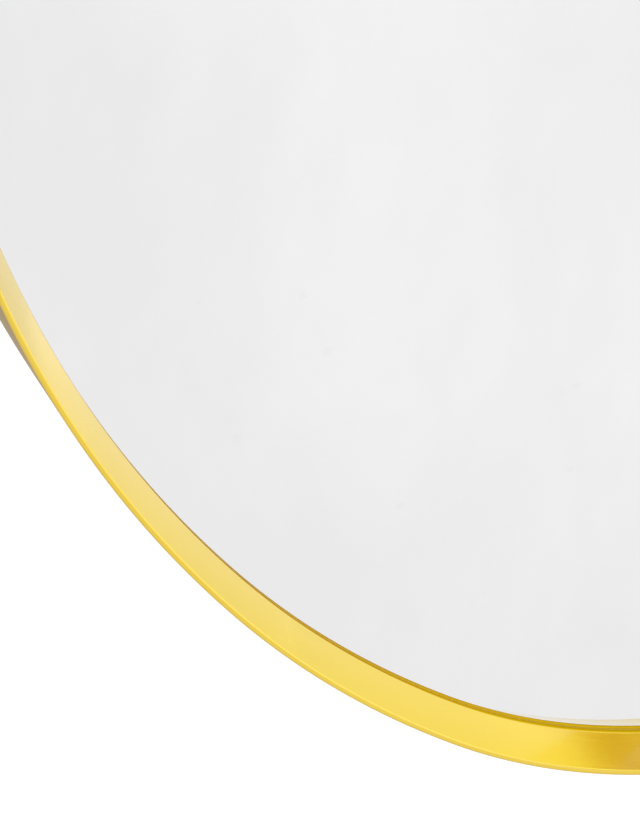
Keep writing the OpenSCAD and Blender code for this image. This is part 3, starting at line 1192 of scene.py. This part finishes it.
@dataclass
class GlassPack(SubAssembly):
    """What the frame holds: glazing tape, glass, film, mounting tape and board."""

    pack_inset: float = 5.1 * MM
    tape_margin: float = 0.3 * MM
    tape_bulge: float = 0.27 * MM
    bulge_half: float = 0.18 * MM
    sight: float = 8 * MM
    board_arris: float = 0.4 * MM

    def glazing(self) -> None:
        """Sweeps the strip of foam between the metal and the glass."""
        h = self.heights
        outer, inner = self.pack_inset + self.tape_margin, self.sight - self.tape_margin
        middle, bulge = (h.glazing + h.seat) / 2, inner + self.tape_bulge
        corners = [
            (outer, h.glazing),
            (outer, h.seat),
            (inner, h.seat),
            (bulge, middle + self.bulge_half),
            (bulge, middle - self.bulge_half),
            (inner, h.glazing),
        ]
        section = [Vector((0, -height, inset - self.oval.half_h)) for inset, height in corners]
        piece = drawn_outline("glazing_strip", section)
        with piece:
            piece.select_all()
            self.oval.sweep(piece)
            piece.weld(JOIN)
        piece.smooth()
        self.finish(piece.obj, "glazing_tape", Slot.GLAZING)

    def board(self) -> None:
        """Cuts the board to the oval and takes the sharpness off its edges."""
        low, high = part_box("backing_board")
        bottom = Vector((0, high.y, self.pack_inset - self.oval.half_h))
        piece = lone_vertex("back_board", bottom)
        with piece:
            piece.select_all()
            self.oval.sweep(piece)
            piece.select_all()
            bpy.ops.mesh.remove_doubles(threshold=JOIN)
            bpy.ops.mesh.edge_face_add()
            piece.extrude((0, low.y - high.y, 0))
            piece.weld(JOIN)
        piece.soften(self.board_arris)
        piece.smooth()
        self.finish(piece.obj, "backing_board", Slot.BOARD)

    def build(self) -> None:
        """Builds what shows and dresses what doesn't."""
        self.glazing()
        self.board()
        for node, slot in (
            ("mirror_glass", Slot.MIRROR),
            ("safety_film", Slot.FILM),
            ("mounting_tape", Slot.TAPE),
            ("splice_key", Slot.KEY),
            ("splice_screws", Slot.GRUB),
        ):
            dress_node(node, slot)


@dataclass
class BoardScrews(SubAssembly):
    """Pan head screws with a cross recess, turned from one profile."""

    head_r: float = 3.4 * MM
    head_h: float = 2 * MM
    head_edge: float = 0.12 * MM
    dome_turns: tuple[float, ...] = (8, 20, 32, 44, 56, 68, 80)
    dome_flat: float = 0.42
    dome_foot: float = 0.28
    dome_rise: float = 0.70
    shank_r: float = 1.6 * MM
    shank_len: float = 5.6 * MM
    recess_r: float = 1.75 * MM
    recess_w: float = 0.8 * MM
    recess_depth: float = 1.15 * MM
    recess_taper: tuple[float, ...] = (0.42, 0.8, 1)
    turn_step: float = 2.4
    sides: int = 40

    def profile(self) -> list[Vector]:
        """Half of the screw's outline, from the top of the head to the tip.

        Returns:
            The outline's points.
        """
        points = [(0.0, self.head_h)]
        for turn in (math.radians(degrees) for degrees in self.dome_turns):
            out = self.dome_flat + (1 - self.dome_flat) * math.sin(turn)
            up = self.dome_foot + self.dome_rise * math.cos(turn)
            points.append((self.head_r * out, self.head_h * up))
        points += [(self.head_r, self.head_edge), (self.head_r - self.head_edge, 0.0)]
        points += [(self.shank_r, 0.0), (self.shank_r, self.shank_r - self.shank_len)]
        return [Vector((r, 0, z)) for r, z in points + [(0.0, -self.shank_len)]]

    def blade(self, turn: float) -> Workpiece:
        """One of the driver tip's two blades, which narrow downwards.

        Args:
            turn: How far it is turned about the screw.

        Returns:
            The blade, sunk into the head from above.
        """
        piece = Workpiece(
            "driver_blade", lambda: bpy.ops.mesh.primitive_cube_add(size=2 * self.recess_depth)
        )
        shape = (self.recess_r / self.recess_depth, self.recess_w / 2 / self.recess_depth, 1)
        with piece:
            piece.select_all()
            piece.resize(shape)
            piece.select(Element.FACE, lambda co: co.z < TOUCH - self.recess_depth)
            piece.resize(self.recess_taper)
        piece.put(Matrix.Translation((0, 0, self.head_h)) @ Matrix.Rotation(turn, 4, "Z"))
        return piece

    def turned(self) -> Workpiece:
        """Turns one screw, with its head on z = 0 and pointing up.

        Returns:
            The screw.
        """
        piece = drawn_outline("board_screw", self.profile())
        with piece:
            piece.select(Element.EDGE, lambda co: abs(co.x) < HAIR)
            bpy.ops.mesh.delete(type="EDGE")
            bpy.ops.mesh.select_mode(type="VERT")
            piece.select_all()
            piece.spin(2 * math.pi, self.sides, (0, 0, 0), (0, 0, 1))
            piece.weld(TOUCH)
        for turn in (0.0, math.pi / 2):
            blade = self.blade(turn).obj
            piece.modify("BOOLEAN", operation="DIFFERENCE", object=blade, solver="EXACT")
            bpy.data.objects.remove(blade)
        piece.smooth(40)
        return piece

    def drive(self, node: str, stem: str, places: Sequence[Matrix]) -> None:
        """Puts copies of the screw in place.

        Args:
            node: The CAD node that the screws stand for.
            stem: The start of their names.
            places: Where each head rests, with its axis pointing away from the board.
        """
        nodes = {f"{stem}_{k + 1}": node for k in range(len(places))}
        driven = [p @ Matrix.Rotation(k * self.turn_step, 4, "Z") for k, p in enumerate(places)]
        self.spread(self.turned(), nodes, driven, Slot.SCREW)


@dataclass
class RetainerClips(SubAssembly):
    """Bent sheet clips that hook under the rear flange and press on the board."""

    width: float = 16 * MM
    sheet: float = 1.2 * MM
    foot: float = 14 * MM
    riser_inset: float = 5.6 * MM
    tab_inset: float = 2.2 * MM
    corner_cut: float = 3 * MM
    flange_top: float = 2.8 * MM
    tab_gap: float = 0.1 * MM
    bend_r: float = 0.9 * MM
    bend_steps: int = 5
    softening: float = 0.12 * MM

    def angles(self) -> list[float]:
        """The directions of the eight clips, in the order of their nodes.

        Returns:
            The directions in radians.
        """
        bends = [math.atan2(s, c) for c, s in (self.oval.turns[0], self.oval.turns[2])]
        quarters = ((0.0, 1), (math.pi, -1), (math.pi, 1), (0.0, -1))
        return [base + sign * bend for base, sign in quarters for bend in bends]

    def screw_inset(self) -> float:
        """How far the screws are from the outside of the frame."""
        return self.riser_inset + self.sheet + (self.foot - self.sheet) / 2

    def bent(self) -> Workpiece:
        """Bends one clip, with x pointing out of the oval and z towards the viewer.

        Returns:
            The clip.
        """
        foot_z = self.heights.board - self.sheet / 2
        tab_z = self.flange_top + self.tab_gap + self.sheet / 2
        riser_x = -self.riser_inset - self.sheet / 2
        tail_x = -self.riser_inset - self.foot
        middle = ((riser_x + tail_x) / 2, 0, foot_z)
        piece = flat_sheet("retainer_clip", middle, (riser_x - tail_x, self.width))
        with piece:
            piece.select(Element.VERT, lambda co: co.x < tail_x + TOUCH)
            piece.bevel(self.corner_cut, 1, corners=True)
            piece.select(Element.EDGE, lambda co: abs(co.x - riser_x) < TOUCH)
            piece.extrude((0, 0, tab_z - foot_z))
            piece.extrude((-self.tab_inset - riser_x, 0, 0))
            piece.select(
                Element.EDGE, lambda co: abs(co.x - riser_x) < TOUCH and abs(co.y) < TOUCH
            )
            piece.bevel(self.bend_r, self.bend_steps)
            piece.weld(HAIR)
        piece.thicken(self.sheet, self.softening)
        return piece

    def build(self, screws: BoardScrews) -> None:
        """Puts a clip and its screw at each place.

        Args:
            screws: Makes the screws.
        """
        angles = self.angles()
        places = [in_plane(self.oval.spot(a), a) for a in angles]
        nodes = {f"clip_{k + 1}": f"retainer_clip_{k + 1}" for k in range(len(angles))}
        self.spread(self.bent(), nodes, places, Slot.CLIP)
        seat = Matrix.Translation((-self.screw_inset(), 0, self.heights.board - self.sheet))
        over = Matrix.Rotation(math.pi, 4, "X")
        screws.drive("clip_screws", "clip_screw", [place @ seat @ over for place in places])


@dataclass
class Hangers(SubAssembly):
    """Strap hangers with swinging rings: two for upright and two for sideways hanging."""

    wire_r: float = 1.4 * MM
    wire_sides: int = 24
    ring_r: float = 10 * MM
    bend_r: float = 3 * MM
    bend_steps: int = 14
    round_steps: int = 56
    sheet: float = 1.2 * MM
    width: float = 12 * MM
    eye_width: float = 11 * MM
    neck: float = 3.4 * MM
    neck_step: float = 1.6 * MM
    tail_round: float = 0.33
    tail_steps: int = 8
    softening: float = 0.15 * MM
    bar_h: float = 2.9 * MM
    bore_r: float = 1.45 * MM
    eye_turn: float = 296.0
    eye_steps: int = 28
    first_screw: float = 19.8 * MM
    screw_pitch: float = 13 * MM
    names: tuple[str, ...] = ("upper_left", "upper_right", "side_top", "side_bottom")

    def place(self, name: str) -> Matrix:
        """A hanger's place, with z pointing away from the board and y towards the hook.

        Args:
            name: The hanger's name.

        Returns:
            The placement.
        """
        swings = {joint["name"]: Vector(joint["pos_m"]) for joint in frame["joints"]}
        pivot = swings[f"ring_{name}_swing"]
        turn = -math.pi / 2 if name.startswith("side") else 0.0
        spot = in_plane((pivot.x, pivot.z), turn, self.heights.board)
        return spot @ Matrix.Rotation(math.pi, 4, "Y")

    def strap(self) -> Workpiece:
        """Cuts a strap, rounds its tail and rolls the eye at its other end.

        Returns:
            The strap.
        """
        tail = -(self.first_screw + self.screw_pitch + self.width / 2)
        neck = -self.neck
        mid = self.sheet / 2
        eye_mid = self.bore_r + mid
        middle = (0, (tail + neck) / 2, mid)
        piece = flat_sheet("hanger_strap", middle, (self.width, neck - tail))
        with piece:
            piece.select(Element.VERT, lambda co: co.y < tail + TOUCH)
            piece.bevel(self.tail_round * self.width, self.tail_steps, corners=True)
            piece.select(Element.EDGE, lambda co: abs(co.y - neck) < TOUCH)
            piece.extrude((0, self.neck_step, 0))
            piece.resize((self.eye_width / self.width, 1, 1))
            piece.extrude((0, -neck - self.neck_step, self.bar_h - eye_mid - mid))
            turn, pivot = math.radians(self.eye_turn), (0, 0, self.bar_h)
            piece.spin(turn, self.eye_steps, pivot, (1, 0, 0))
            piece.weld(HAIR)
        piece.thicken(self.sheet, self.softening)
        return piece

    def ring(self) -> Workpiece:
        """Bends the wire: a straight bar, two bends and the round part.

        Returns:
            The ring.
        """
        bar_half = self.ring_r - self.bend_r
        wire = {"vertices": self.wire_sides, "radius": self.wire_r}
        place = {"location": (0, 0, self.bar_h), "rotation": (0, math.pi / 2, 0)}
        piece = Workpiece("d_ring", lambda: bpy.ops.mesh.primitive_circle_add(**wire, **place))
        with piece:
            piece.select_all()
            piece.extrude((bar_half, 0, 0))
            bend, half_round = (math.pi / 2, self.bend_steps), (math.pi, self.round_steps)
            for x, (turn, steps) in ((bar_half, bend), (0.0, half_round), (-bar_half, bend)):
                piece.spin(turn, steps, (x, -self.bend_r, self.bar_h), (0, 0, -1))
            piece.extrude((bar_half, 0, 0))
            piece.weld(TOUCH)
        piece.smooth(60)
        return piece

    def build(self, screws: BoardScrews) -> None:
        """Puts the straps, their rings and their screws in place.

        Args:
            screws: Makes the screws.
        """
        places = [self.place(name) for name in self.names]
        straps = {f"hanger_strap_{name}": f"strap_{name}" for name in self.names}
        rings = {f"d_ring_{name}": f"ring_{name}" for name in self.names}
        self.spread(self.strap(), straps, places, Slot.STRAP)
        self.spread(self.ring(), rings, places, Slot.RING, swings=True)
        rows = (self.first_screw, self.first_screw + self.screw_pitch)
        seats = [place @ Matrix.Translation((0, -y, self.sheet)) for place in places for y in rows]
        screws.drive("hanger_screws", "hanger_screw", seats)


@dataclass
class WallBumpers(SubAssembly):
    """Tapered rubber pads between the board and the wall."""

    base_r: float = 7 * MM
    tip_r: float = 5 * MM
    sides: int = 64
    edge_round: float = 0.7 * MM
    edge_steps: int = 5
    dimple_r: float = 1.6 * MM
    dimple_edge: float = 0.25 * MM
    dimple: float = 0.5 * MM
    count: int = 4

    def moulded(self) -> Workpiece:
        """Moulds one pad, with its tip at height 0 and its base on the board.

        Returns:
            The pad.
        """
        height = self.heights.board
        cone = {"vertices": self.sides, "radius1": self.tip_r, "radius2": self.base_r}
        place = {"depth": height, "location": (0, 0, height / 2)}
        piece = Workpiece("wall_pad", lambda: bpy.ops.mesh.primitive_cone_add(**cone, **place))
        with piece:
            piece.select(Element.EDGE, lambda co: co.z < TOUCH)
            piece.bevel(self.edge_round, self.edge_steps)
            piece.select(Element.FACE, lambda co: co.z < TOUCH)
            bpy.ops.mesh.inset(thickness=self.tip_r - self.edge_round - self.dimple_r)
            bpy.ops.mesh.inset(thickness=self.dimple_edge)
            piece.move((0, 0, self.dimple))
            piece.weld(HAIR)
        piece.smooth(50)
        return piece

    def build(self) -> None:
        """Puts a pad at each node's place."""
        nodes = {f"wall_pad_{k + 1}": f"wall_bumper_{k + 1}" for k in range(self.count)}
        middles = [sum(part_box(node), Vector()) / 2 for node in nodes.values()]
        places = [in_plane((middle.x, middle.z), 0.0) for middle in middles]
        self.spread(self.moulded(), nodes, places, Slot.BUMPER)


# Stage


@dataclass(frozen=True)
class Camera:
    """The camera at the photograph's viewing angle."""

    place: tuple[float, float, float] = (-731.8 * MM, -1343.2 * MM, 779.6 * MM)
    yaw: float = 23.05
    pitch: float = -36.46
    roll: float = 0.14
    focal_pixels: float = 6060.0
    photo_width: int = 640
    sensor: float = 36.0
    clip_end: float = 100.0

    def put(self) -> None:
        """Creates the camera and makes it the scene's."""
        place = Matrix.Translation(self.place)
        for degrees, axis in ((-self.yaw, "Z"), (90 + self.pitch, "X"), (self.roll, "Z")):
            place @= Matrix.Rotation(math.radians(degrees), 4, axis)
        data = bpy.data.cameras.new("photo_camera")
        data.sensor_fit = "HORIZONTAL"
        data.sensor_width = self.sensor
        data.lens = self.focal_pixels / self.photo_width * self.sensor
        data.clip_end = self.clip_end
        obj = bpy.data.objects.new("photo_camera", data)
        bpy.context.scene.collection.objects.link(obj)
        obj.matrix_world = place
        bpy.context.scene.camera = obj


@dataclass(frozen=True)
class Softbox:
    """A soft lamp: its place and direction, its width and height, and its power in watts."""

    name: str
    at: tuple[float, float, float]
    facing: tuple[float, float, float]
    size: Point2
    power: float


SOFTBOXES = (
    Softbox("right_softbox", (3.0, -1.2, 0.885), (-3.0, 0.0, 0.0), (4.0, 2.83), 20.4),
    Softbox("low_softbox", (2.2, -1.2, -0.965), (-3.0, 0.0, 0.0), (4.0, 0.97), 4.35),
    Softbox("rear_softbox", (-1.6, 2.4, 1.9), (1.6, -2.4, -1.9), (1.8, 1.2), 20.0),
    Softbox("top_softbox", (0.0, -1.85, 2.9), (0.0, 1.85, -2.9), (2.4, 1.6), 2.9),
)


@dataclass(frozen=True)
class Studio:
    """A plain pale floor and soft light."""

    floor_z: float = -1.45
    floor_size: float = 40.0
    floor_colour: Colour = (0.86, 0.86, 0.86)
    floor_patch: Colour = (0.88, 0.88, 0.88)
    floor_scale: float = 1.5
    floor_roughness: float = 0.9
    floor_glow: float = 0.345
    air: Colour = (0.75, 0.75, 0.75)

    def floor(self) -> None:
        """Lays the floor."""
        sheet = ShaderSheet("pale_floor")
        patches = sheet.noise(sheet.place(), self.floor_scale, detail=2.0)
        sheet.dress(
            base_color=sheet.mix(patches, self.floor_colour, self.floor_patch),
            roughness=self.floor_roughness,
            emission_color=(1.0, 1.0, 1.0),
            emission_strength=self.floor_glow,
        )
        lay = {"size": self.floor_size, "location": (0, 0, self.floor_z)}
        piece = Workpiece("studio_floor", lambda: bpy.ops.mesh.primitive_plane_add(**lay))
        piece.obj.data.materials.append(sheet.material)

    def hang(self, box: Softbox) -> None:
        """Hangs one softbox.

        Args:
            box: The softbox.
        """
        data = bpy.data.lights.new(box.name, "AREA")
        data.shape = "RECTANGLE"
        data.size, data.size_y = box.size
        data.energy = box.power
        obj = bpy.data.objects.new(box.name, data)
        bpy.context.scene.collection.objects.link(obj)
        turn = Vector(box.facing).to_track_quat("-Z", "Y").to_matrix().to_4x4()
        obj.matrix_world = Matrix.Translation(box.at) @ turn

    def put(self) -> None:
        """Sets up the floor, the air's own light and the softboxes."""
        self.floor()
        world = bpy.data.worlds.new("studio_air")
        world.use_nodes = True
        world.node_tree.nodes["Background"].inputs[0].default_value = (*self.air, 1.0)
        bpy.context.scene.world = world
        for box in SOFTBOXES:
            self.hang(box)
        bpy.context.scene.view_settings.view_transform = "Standard"


def main() -> None:
    """Builds the mirror, piece by piece, and the stage around it."""
    logging.basicConfig(level=logging.INFO, format="%(name)s: %(message)s")
    Camera().put()
    shared = (Oval(), Heights.read())
    screws = BoardScrews(*shared)
    BentFrame(*shared).build()
    GlassPack(*shared).build()
    RetainerClips(*shared).build(screws)
    Hangers(*shared).build(screws)
    WallBumpers(*shared).build()
    Studio().put()


if __name__ == "__main__":
    main()
